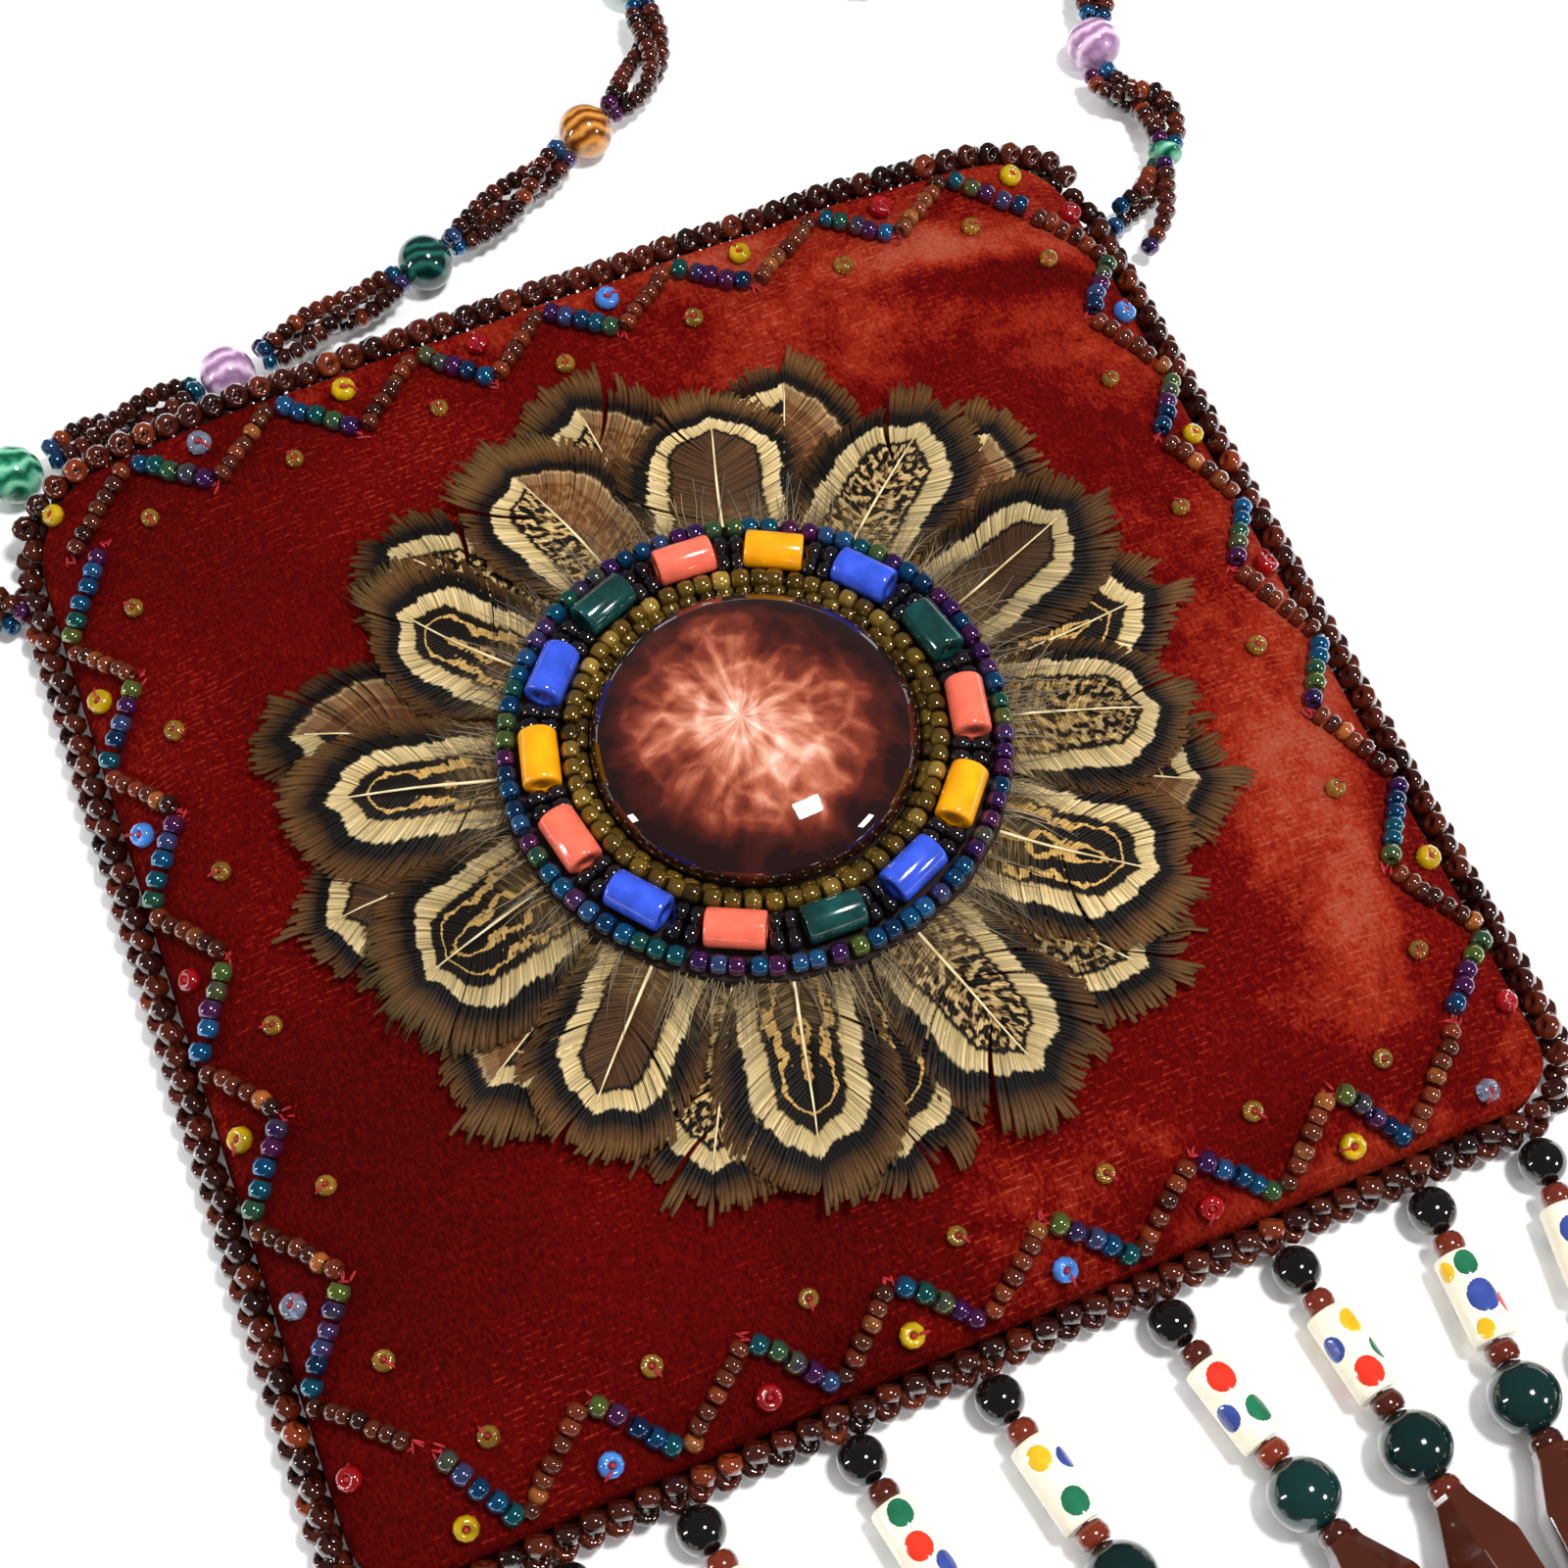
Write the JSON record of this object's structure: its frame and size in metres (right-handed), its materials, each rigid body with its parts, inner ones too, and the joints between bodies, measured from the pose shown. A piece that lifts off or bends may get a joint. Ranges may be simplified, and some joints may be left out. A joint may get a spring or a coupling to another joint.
{
  "type": "beaded crossbody bag",
  "caption": "Square red velvet pouch with beaded edges, a feather rosette round a glass dome, swinging bead tassels along the bottom and a long beaded strap.",
  "frame": {"origin": "middle of the bag's back, on the surface that it lies on", "axes": "+Z out of the front face, +Y towards the mouth, X along the bottom edge"},
  "size_m": [0.2165, 0.3371, 0.0252],
  "materials": {
    "velvet": "silk velvet pile",
    "lining_satin": "satin",
    "brown_glass": "polished",
    "iris_glass": "iridescent",
    "amber_glass": "gold lined",
    "cabochon_glass": "clear dome over a painted ground",
    "felt": "felt",
    "glazed_ceramic": "glazed ceramic",
    "feather": "barbed feather",
    "bead_strand": "glazed ceramic, stone and glass beads",
    "strap_beads": "polished",
    "tie_thread": "waxed thread"
  },
  "bodies": {
    "bag": {"front_panel": "velvet", "back_panel": "velvet", "lining_pouch": "lining_satin", "edging_left": "brown_glass", "edging_right": "brown_glass", "edging_bottom": "brown_glass", "mouth_edging_front": "brown_glass", "mouth_edging_back": "brown_glass", "zigzag_top": "iris_glass", "zigzag_left": "iris_glass", "zigzag_right": "iris_glass", "zigzag_bottom": "iris_glass", "medallion_backing": "felt", "glass_cabochon": "cabochon_glass", "gold_bead_ring": "amber_glass", "ceramic_tube_ring": "glazed_ceramic", "iris_bead_ring": "iris_glass", "feather_01": "feather", "feather_02": "feather", "feather_03": "feather", "feather_04": "feather", "feather_05": "feather", "feather_06": "feather", "feather_07": "feather", "feather_08": "feather", "feather_09": "feather", "feather_10": "feather", "feather_11": "feather", "feather_12": "feather", "feather_13": "feather", "feather_14": "feather", "feather_15": "feather", "feather_16": "feather", "feather_17": "feather", "feather_18": "feather", "feather_19": "feather", "feather_20": "feather", "feather_21": "feather", "feather_22": "feather", "feather_23": "feather", "feather_24": "feather", "strap_left": "strap_beads", "strap_right": "strap_beads", "strap_coil": "strap_beads", "strap_tie": "tie_thread"},
    "fringe_strand_1": {"fringe_strand_1": "bead_strand"},
    "fringe_strand_2": {"fringe_strand_2": "bead_strand"},
    "fringe_strand_3": {"fringe_strand_3": "bead_strand"},
    "fringe_strand_4": {"fringe_strand_4": "bead_strand"},
    "fringe_strand_5": {"fringe_strand_5": "bead_strand"},
    "fringe_strand_6": {"fringe_strand_6": "bead_strand"},
    "fringe_strand_7": {"fringe_strand_7": "bead_strand"},
    "fringe_strand_8": {"fringe_strand_8": "bead_strand"},
    "fringe_strand_9": {"fringe_strand_9": "bead_strand"}
  },
  "joints": [
    {"name": "fringe_swing_1", "type": "hinge", "parent": "bag", "child": "fringe_strand_1", "pos_m": [-0.07, -0.07255, 0.0028], "axis": [-1, 0, 0], "range_deg": [-120, 105]},
    {"name": "fringe_swing_2", "type": "hinge", "parent": "bag", "child": "fringe_strand_2", "pos_m": [-0.056, -0.07255, 0.0028], "axis": [-1, 0, 0], "range_deg": [-120, 105]},
    {"name": "fringe_swing_3", "type": "hinge", "parent": "bag", "child": "fringe_strand_3", "pos_m": [-0.0409, -0.07255, 0.0028], "axis": [-1, 0, 0], "range_deg": [-120, 105]},
    {"name": "fringe_swing_4", "type": "hinge", "parent": "bag", "child": "fringe_strand_4", "pos_m": [-0.0221, -0.07255, 0.0028], "axis": [-1, 0, 0], "range_deg": [-120, 105]},
    {"name": "fringe_swing_5", "type": "hinge", "parent": "bag", "child": "fringe_strand_5", "pos_m": [-0.0057, -0.07255, 0.0028], "axis": [-1, 0, 0], "range_deg": [-120, 105]},
    {"name": "fringe_swing_6", "type": "hinge", "parent": "bag", "child": "fringe_strand_6", "pos_m": [0.0152, -0.07255, 0.0028], "axis": [-1, 0, 0], "range_deg": [-120, 105]},
    {"name": "fringe_swing_7", "type": "hinge", "parent": "bag", "child": "fringe_strand_7", "pos_m": [0.0313, -0.07255, 0.0028], "axis": [-1, 0, 0], "range_deg": [-120, 105]},
    {"name": "fringe_swing_8", "type": "hinge", "parent": "bag", "child": "fringe_strand_8", "pos_m": [0.0496, -0.07255, 0.0028], "axis": [-1, 0, 0], "range_deg": [-120, 105]},
    {"name": "fringe_swing_9", "type": "hinge", "parent": "bag", "child": "fringe_strand_9", "pos_m": [0.0646, -0.07255, 0.0028], "axis": [-1, 0, 0], "range_deg": [-120, 105]}
  ]
}
